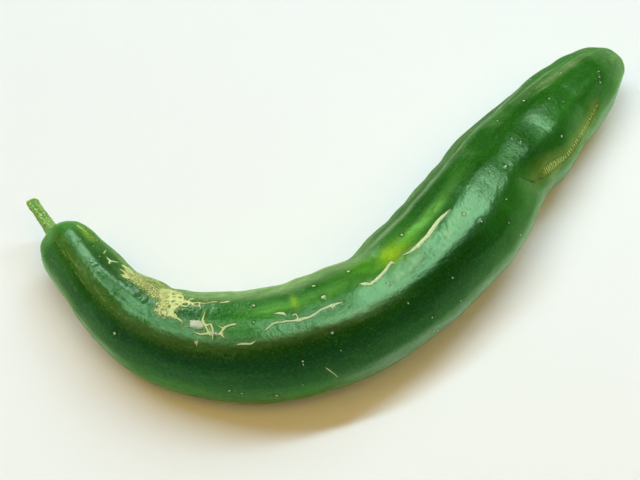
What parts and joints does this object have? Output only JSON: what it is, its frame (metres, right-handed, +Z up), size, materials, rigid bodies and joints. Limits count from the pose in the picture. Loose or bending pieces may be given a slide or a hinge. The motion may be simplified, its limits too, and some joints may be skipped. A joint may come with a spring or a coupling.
{
  "type": "cucumber",
  "caption": "Curved dark green cucumber with a cut stalk, lying on its side, with corky scars on the skin, a long low rib and a fold near the blossom end.",
  "frame": {"origin": "middle of the bounding box, on the plane that the fruit lies on", "axes": "+X from the stalk's cut end towards the blossom tip, +Y into the bend's mouth, +Z up as it lies"},
  "size_m": [0.2346, 0.1093, 0.0406],
  "materials": {
    "cucumber_skin": "waxy smooth cucumber skin, softly glossy, dark green with pale corky scars",
    "cucumber_stalk": "fibrous ribbed green stalk, matt"
  },
  "bodies": {
    "root": {"fruit": "cucumber_skin", "stalk": "cucumber_stalk"}
  },
  "joints": []
}
